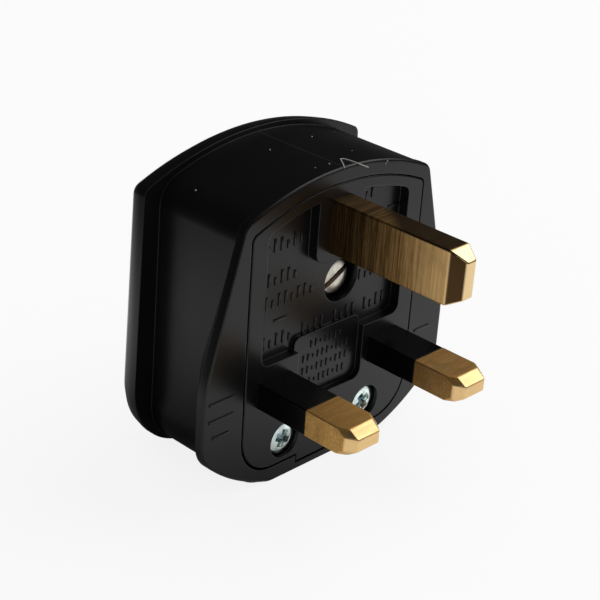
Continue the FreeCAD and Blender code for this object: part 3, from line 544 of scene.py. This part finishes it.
def makeBar(bar):
    wide, tall = bar["size"]
    start = bar["run"] - bar["reach"]
    work = bmesh.new()
    box = bmesh.ops.create_cube(work, size=1)["verts"]
    bmesh.ops.scale(work, verts=box, vec=(wide * mm, (bar["reach"] + bar["root"]) * mm, tall * mm))
    bmesh.ops.translate(work, verts=box, vec=(0, (bar["root"] - bar["reach"]) / 2 * mm, 0))
    bmesh.ops.bisect_plane(work, geom=partsOf(work), plane_co=(0, start * mm, 0),
                           plane_no=(0, 1, 0))
    nose = [spot for spot in work.verts if spot.co.y < (start - bar["run"] / 2) * mm]
    bmesh.ops.scale(work, verts=nose, vec=(1 - 2 * bar["drop"][0] / wide, 1,
                                           1 - 2 * bar["drop"][1] / tall))
    if bar["corner"]:
        trimCorners(work, bar)
    bmesh.ops.translate(work, verts=work.verts,
                        vec=(bar["middle"][0] * mm, 0, bar["middle"][1] * mm))
    bevelSharp(work, bar["edge"], angle=15, segments=3)
    return work


# Each corner is cut by a plane that leans from where the bevels start to near the end face
def trimCorners(work, bar):
    (wide, tall), corner, lean = bar["size"], bar["corner"], bar["lean"]
    start = bar["run"] - bar["reach"]
    for side in (-1, 1):
        for high in (-1, 1):
            inward = Vector((side * (wide / 2 - corner), start, high * tall / 2))
            down = Vector((side * wide / 2, start, high * (tall / 2 - corner)))
            forward = Vector((side * (wide / 2 - lean * bar["drop"][0]),
                              start - lean * bar["run"],
                              high * (tall / 2 - lean * bar["drop"][1])))
            normal = (down - inward).cross(forward - inward).normalized()
            if normal.x * side < 0:
                normal.negate()
            trim(work, inward, normal)


for name, bar in (("earth", earthBar), ("neutral", neutralBar), ("live", liveBar)):
    work = skinOf(name + "_pin")
    trim(work, (0, bar["root"] + pins["apart"], 0), (0, -1, 0))
    pourInto(work, makeBar(bar))
    smooth(makePiece(name + "Pin", work, pinBrass[name], [name + "_pin"]))
for name in ("neutral", "live"):
    work = skinOf(name + "_sleeve")
    bevelSharp(work, pins["sleeveEdge"])
    smooth(makePiece(name + "Sleeve", work, finishes["sleeve_plastic"],
                     [name + "_sleeve"]))
print("shells and pins made")

# The parts inside
inside = {
    "live_terminal": "terminal_brass", "cover_screw_insert": "terminal_brass",
    "live_pin_clip": "clip_metal", "live_terminal_clip": "clip_metal",
    "cover_screw_washer": "fibre", "fuse_tube": "fuse_ceramic",
    "fuse_cap_lower": "fuse_cap_metal", "fuse_cap_upper": "fuse_cap_metal",
}
for node, slot in inside.items():
    first, *others = node.split("_")
    name = first + "".join(word.capitalize() for word in others)
    smooth(makePiece(name, skinOf(node), finishes[slot], [node]), crease=35)
print("inner parts made")


# Screws. What they have in common: the head's outline, as shares of radius and crown and a
# drop behind the crown, its chamfer and edges, and the shank with its thread
screws = {
    "outline": [(0, 0, 0), (0.6, 0.25, 0), (0.86, 1, 0), (0.965, 1, 0.14), (1, 1, 0.42)],
    "weld": 0.001, "crease": 38, "headSteps": 64, "chamfer": 0.12, "edge": 0.05, "edgeAngle": 40,
    "shankSteps": 28, "core": 0.22, "overlap": 0.2, "point": 0.3,
    "threadSteps": 14, "threadDeep": 0.28, "threadFrom": 0.4, "threadTo": 0.1,
}


# Turns a line of (radius, depth) points round the screw's axis, which is Y
def turned(points, steps):
    work = bmesh.new()
    spots = [work.verts.new((radius * mm, depth * mm, 0)) for radius, depth in points]
    edges = [work.edges.new(pair) for pair in zip(spots, spots[1:])]
    bmesh.ops.spin(work, geom=spots + edges, cent=(0, 0, 0), axis=(0, 1, 0),
                   angle=2 * math.pi, steps=steps, use_merge=True)
    bmesh.ops.remove_doubles(work, verts=work.verts, dist=screws["weld"] * mm)
    bmesh.ops.recalc_face_normals(work, faces=work.faces)
    return work


def makeHead(screw):
    radius, crown, thick = screw["head"] / 2, screw["crown"], screw["thick"]
    chamfer = screws["chamfer"]
    front = [(radius * out, crown * rise + drop) for out, rise, drop in screws["outline"]]
    back = [(radius, thick - chamfer), (radius - chamfer, thick), (0, thick)]
    work = cutWith(turned(front + back, screws["headSteps"]), makeCutter(screw))
    bevelSharp(work, screws["edge"], screws["edgeAngle"])
    return work


def makeShank(screw):
    core, end = screw["shank"] / 2 - screws["core"], screw["long"]
    start, point = screw["thick"] - screws["overlap"], screws["point"]
    return turned([(0, start), (core, start), (core, end - point), (core - point, end),
                   (0, end)], screws["shankSteps"])


def makeThread(screw):
    radius, pitch, steps = screw["shank"] / 2, screw["pitch"], screws["threadSteps"]
    root = radius - screws["threadDeep"]
    near, far = screw["thick"] + screws["threadFrom"], screw["long"] - screws["threadTo"]
    total = int(((far - near) / pitch - 1) * steps)
    work = bmesh.new()
    corners = ((root, near), (radius, near + pitch / 2), (root, near + pitch))
    spots = [work.verts.new((across * mm, depth * mm, 0)) for across, depth in corners]
    work.faces.new(spots)
    bmesh.ops.spin(work, geom=work.faces[:] + work.edges[:] + spots, cent=(0, 0, 0),
                   axis=(0, 1, 0), dvec=(0, pitch / steps * mm, 0),
                   angle=2 * math.pi * total / steps, steps=total)
    bmesh.ops.recalc_face_normals(work, faces=work.faces)
    return work


# A slot, or a cross whose two arms taper
def makeCutter(screw):
    wide, tall, taper = screw["recessWide"], screw["recessTall"], screw["taper"]
    work = bmesh.new()
    for across, up in ((wide, tall), (tall, wide)) if taper < 1 else ((wide, tall),):
        box = bmesh.ops.create_cube(work, size=1)["verts"]
        bmesh.ops.scale(work, verts=box, vec=(across * mm, screw["recessDeep"] * 2 * mm, up * mm))
        inner = [spot for spot in box if spot.co.y > 0]
        bmesh.ops.scale(work, verts=inner, vec=(taper, 1, taper))
    return addObject("cutter", work)


def cutWith(work, cutter):
    blank = addObject("blank", work)
    step = blank.modifiers.new("cut", "BOOLEAN")
    step.object = cutter
    step.operation = "DIFFERENCE"
    step.solver = "EXACT"
    step.use_self = True
    graph = bpy.context.evaluated_depsgraph_get()
    work = bmesh.new()
    work.from_mesh(blank.evaluated_get(graph).data)
    for item in (blank, cutter):
        bpy.data.objects.remove(item)
    return work


# Head and shank are made round the origin, then put at their place
def makeScrew(name, node, screw, slot):
    work, shank = makeHead(screw), makeShank(screw)
    pourInto(shank, makeThread(screw))
    pourInto(work, shank)
    turn = Matrix.Rotation(math.radians(screw["turn"]), 4, "Y")
    face = Matrix.Rotation(math.radians(screw["facing"]), 4, "Z")
    place = Matrix.Translation(Vector(screw["place"]) * mm)
    bmesh.ops.transform(work, matrix=place @ face @ turn, verts=work.verts)
    smooth(makePiece(name, work, finishes[slot], [node]), screws["crease"])


coverScrew = {"head": 5.4, "crown": 0.12, "thick": 1.5, "shank": 4.0, "long": 8.15,
              "pitch": 0.75, "recessWide": 0.9, "recessTall": 7, "recessDeep": 0.8,
              "taper": 1, "turn": 62.5, "facing": 0, "place": (2.7, 2.65, 27.36)}
gripScrew = {"head": 5.3, "crown": 0.3, "thick": 1.8, "shank": 3.0, "long": 14.1,
             "pitch": 0.9, "recessWide": 3.5, "recessTall": 1.5, "recessDeep": 1.0,
             "taper": 0.6, "turn": 24, "facing": 0, "place": (-8.4, 0.36, 5.9)}
rightGripScrew = dict(gripScrew, turn=61, place=(8.4, 0.36, 5.9))
clampScrew = dict(coverScrew, head=4.2, thick=1.8, shank=2.9, pitch=0.6, facing=180, turn=20)
makeScrew("coverScrew", "cover_screw", coverScrew, "plated_screw")
makeScrew("gripScrewLeft", "cord_grip_screw_left", gripScrew, "zinc_screw")
makeScrew("gripScrewRight", "cord_grip_screw_right", rightGripScrew, "zinc_screw")
for name in ("earth", "neutral", "live"):
    node = name + "_terminal_screw"
    low, high = (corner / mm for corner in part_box(node))
    middle = (low + high) / 2
    screw = dict(clampScrew, long=high.y - low.y, place=(middle.x, high.y, middle.z))
    makeScrew(name + "TerminalScrew", node, screw, "terminal_screw")
print("screws made")


# Raised marks: plain ticks and dashes in the places where such a plug has its moulded words
faceMarks = {
    "rise": 0.16, "sink": 0.1, "stroke": 0.36, "pitch": 1.25, "edge": 0.05, "forward": -0.5,
    # rows of ticks: left end, height of the middle, how many, how tall, depth of the floor
    "rows": [(-13.6, 36.4, 7, 2.0, 1.6), (-11.9, 31.4, 5, 2.0, 1.6), (-12.2, 28.0, 8, 1.9, 1.6),
             (-12.3, 21.9, 5, 1.9, 1.6), (-4.6, 21.9, 4, 1.9, 1.6), (1.9, 21.9, 4, 1.9, 1.6),
             (8.2, 21.9, 4, 1.9, 1.6), (5.3, 39.6, 3, 1.9, 1.6), (6.6, 27.0, 3, 1.6, 1.6)],
    # one tick in three is short and stands lower: its shares of the height
    "shortTall": 0.6, "shortDrop": 0.2,
    # rows of fine ticks: left end, height of the middle, how many. One in four is short
    "fineRows": [(-3.2, 19.2, 7), (-4.6, 17.2, 10), (-4.6, 15.2, 10), (-4.0, 13.2, 9)],
    "finePitch": 0.975, "fineStroke": 0.252, "fineTall": 1.1, "fineShort": 0.5, "fineFloor": 1,
    # long dashes: middle, height, width, height of the stroke, depth of the floor
    "dashes": [(-9.2, 24.9, 2.6, 0.34, 1.6), (12.7, 36.2, 2.4, 0.34, 1.6),
               (-21.2, 16.9, 4.6, 0.4, 0), (-21.2, 14.2, 4.6, 0.4, 0),
               (-21.2, 11.5, 3.0, 0.4, 0), (20.2, 14.6, 3.4, 0.4, 0)],
}


def addBar(work, across, up, wide, tall, floor):
    rise, sink = faceMarks["rise"], faceMarks["sink"]
    place = Matrix.Translation(Vector((across, floor + (sink - rise) / 2, up)) * mm)
    size = Matrix.Diagonal((wide * mm, (rise + sink) * mm, tall * mm, 1))
    bmesh.ops.create_cube(work, size=1, matrix=place @ size)


def makeFaceMarks():
    work = bmesh.new()
    for left, up, count, tall, floor in faceMarks["rows"]:
        lower, short = faceMarks["shortDrop"] * tall, faceMarks["shortTall"] * tall
        for number in range(count):
            middle, height = (up - lower, short) if number % 3 == 1 else (up, tall)
            addBar(work, left + faceMarks["pitch"] * number, middle, faceMarks["stroke"],
                   height, floor)
    for left, up, count in faceMarks["fineRows"]:
        for number in range(count):
            height = faceMarks["fineShort" if number % 4 == 2 else "fineTall"]
            addBar(work, left + faceMarks["finePitch"] * number, up, faceMarks["fineStroke"],
                   height, faceMarks["fineFloor"])
    for dash in faceMarks["dashes"]:
        addBar(work, *dash)
    fronts = [edge for edge in work.edges if edge.is_manifold
              and min(face.normal.y for face in edge.link_faces) < faceMarks["forward"]]
    bevel(work, fronts, faceMarks["edge"])
    smooth(makePiece("faceMarks", work, finishes["base_plastic"]))


makeFaceMarks()
print("face marks made")


# A strand of swarf left on the rim, and flakes of dust
swarf = {
    "thick": 0.18, "flake": 0.13,
    "strands": [[(-0.3, 0.02, 45.5), (0.1, 0.6, 45.68), (1.32, 2.29, 45.68)],
                [(1.32, 2.29, 45.68), (1.82, 2.04, 45.65), (2.07, 1.2, 45.63),
                 (2.5, -0.02, 45.46), (4.6, -0.07, 44.4)]],
    "flakes": [(5.03, 11.27, 45.3), (-16.45, 11.81, 42.33), (-3.66, 10.9, 45.44),
               (-1.1, 2.06, 45.58), (8.5, 0, 44.4), (8.2, 0, 44.1)],
}


def addStrand(work, points):
    run = Vector(points[-1]) - Vector(points[0])
    place = Matrix.Translation(Vector(points[0]) * mm)
    ring = bmesh.ops.create_circle(
        work, cap_ends=True, segments=6, radius=swarf["thick"] / 2 * mm,
        matrix=place @ run.to_track_quat("Z", "Y").to_matrix().to_4x4())["verts"]
    cap = ring[0].link_faces[0]
    for near, far in zip(points, points[1:]):
        drawn = bmesh.ops.extrude_face_region(work, geom=[cap])["geom"]
        cap = next(part for part in drawn if isinstance(part, bmesh.types.BMFace))
        bmesh.ops.translate(work, verts=cap.verts, vec=(Vector(far) - Vector(near)) * mm)


def makeSwarf():
    work = bmesh.new()
    for points in swarf["strands"]:
        addStrand(work, points)
    for spot in swarf["flakes"]:
        bmesh.ops.create_icosphere(work, subdivisions=1, radius=swarf["flake"] * mm,
                                   matrix=Matrix.Translation(Vector(spot) * mm))
    bmesh.ops.recalc_face_normals(work, faces=work.faces)
    smooth(makePiece("swarf", work, dullStock("paleSwarf", swarfLook)))


makeSwarf()
print("swarf made")


# Floor, world, lamps and camera

white = (1, 1, 1, 1)


def raysOf(graph):
    return [graph.add("ShaderNodeLightPath", out=name) for name in (
        "Is Camera Ray", "Is Glossy Ray", "Is Transmission Ray")]


# The floor is white to the camera but for the part's shadow. In reflections it glows with painted
# light: bright only outside a painted shadow of the part and near the middle of a painted pool of
# light
# The middles of the painted shadow and of the painted pool of light, and how far each reaches
floorLook = {"size": 3, "tone": 0.82, "seen": 0.85, "mirrored": 0.9,
             "shadow": (-0.02, 0.016, 0), "rise": (0, 0.055),
             "light": (0.03, -0.03, 0), "fade": (0.088, 0.2)}


def makeStage():
    work = bmesh.new()
    bmesh.ops.create_grid(work, x_segments=1, y_segments=1, size=floorLook["size"])
    floor = addObject("floor", work)
    material, graph = startMaterial("paleFloor")
    lit = graph.add("ShaderNodeBsdfDiffuse", {}, {"Color": shade([floorLook["tone"]] * 3)})
    camera, glossy, clear = raysOf(graph)
    place = graph.add("ShaderNodeTexCoord", out="Object")
    shadow, fromPaintedLight = [graph.add("ShaderNodeVectorMath", {"operation": "DISTANCE"},
                              {0: place, 1: floorLook[name]}, out="Value")
                    for name in ("shadow", "light")]
    # Painted shadow and painted pool of light, which only reflections see
    near = (between(graph, shadow, *floorLook["rise"])
            * (1 - between(graph, fromPaintedLight, *floorLook["fade"])))
    glow = graph.add("ShaderNodeEmission", {}, {
        "Color": white, "Strength": camera + clear + glossy * near})
    share = (camera + clear) * floorLook["seen"] + glossy * floorLook["mirrored"]
    mixed = graph.add("ShaderNodeMixShader", {}, {0: share, 1: lit, 2: glow})
    graph.add("ShaderNodeOutputMaterial", {}, {"Surface": mixed})
    floor.data.materials.append(material)


# White to the camera, dim in reflections and dimmer above the horizon, even light elsewhere
worldLook = {"ambient": 0.6, "skyLow": 0.04, "skyHigh": 0.015, "fade": (-0.05, 0.1)}


def makeWorld():
    world = bpy.data.worlds.new("studio")
    bpy.context.scene.world = world
    world.use_nodes = True
    graph = Graph(world.node_tree)
    camera, glossy, clear = raysOf(graph)
    direction = graph.add("ShaderNodeTexCoord", out="Generated")
    height = graph.add("ShaderNodeSeparateXYZ", {}, {0: direction}, out="Z")
    high = between(graph, height, *worldLook["fade"])
    sky = worldLook["skyLow"] - high * (worldLook["skyLow"] - worldLook["skyHigh"])
    other = 1 - camera - glossy - clear
    strength = camera + clear + glossy * sky + other * worldLook["ambient"]
    light = graph.add("ShaderNodeBackground", {}, {"Color": white, "Strength": strength})
    graph.add("ShaderNodeOutputWorld", {}, {"Surface": light})


lamps = {
    "key": {"from": (0.42, -0.1, 0.5), "size": 0.6, "power": 2},
    "side": {"from": (0.45, -0.43, 0.33), "size": 0.3, "power": 0.3},
    "front": {"from": (-0.45, -0.55, 0.3), "size": 0.3, "power": 0.2},
}
lampAim = Vector((0, 0, 0.022))


def makeLamps():
    for name, lamp in lamps.items():
        light = bpy.data.lights.new(name, "AREA")
        light.shape = "DISK"
        light.size = lamp["size"]
        light.energy = lamp["power"]
        holder = bpy.data.objects.new(name, light)
        holder.location = lamp["from"]
        holder.rotation_euler = (lampAim - holder.location).to_track_quat("-Z", "Y").to_euler()
        bpy.context.scene.collection.objects.link(holder)


view = {"place": (-0.151633, -0.133613, 0.124752), "azimuth": -46.422, "elevation": 26.557,
        "roll": 3.694, "lens": 96.24, "sensor": 36, "shift": (0.0342, 0.0122), "near": 0.01}


def makeCamera():
    turn, rise, roll = (math.radians(view[name]) for name in ("azimuth", "elevation", "roll"))
    back = Vector((math.sin(turn) * math.cos(rise), -math.cos(turn) * math.cos(rise),
                   math.sin(rise)))
    side = Vector((0, 0, 1)).cross(back).normalized()
    up = back.cross(side)
    right = side * math.cos(roll) + up * math.sin(roll)
    top = up * math.cos(roll) - side * math.sin(roll)
    lens = bpy.data.cameras.new("camera")
    lens.lens = view["lens"]
    lens.sensor_width = view["sensor"]
    lens.shift_x, lens.shift_y = view["shift"]
    lens.clip_start = view["near"]
    camera = bpy.data.objects.new("camera", lens)
    camera.matrix_world = Matrix.Translation(view["place"]) @ Matrix(
        (right, top, back)).transposed().to_4x4()
    bpy.context.scene.collection.objects.link(camera)
    bpy.context.scene.camera = camera


makeStage()
makeWorld()
makeLamps()
makeCamera()
bpy.context.scene.view_settings.view_transform = "Standard"
print("stage, lamps and camera made")
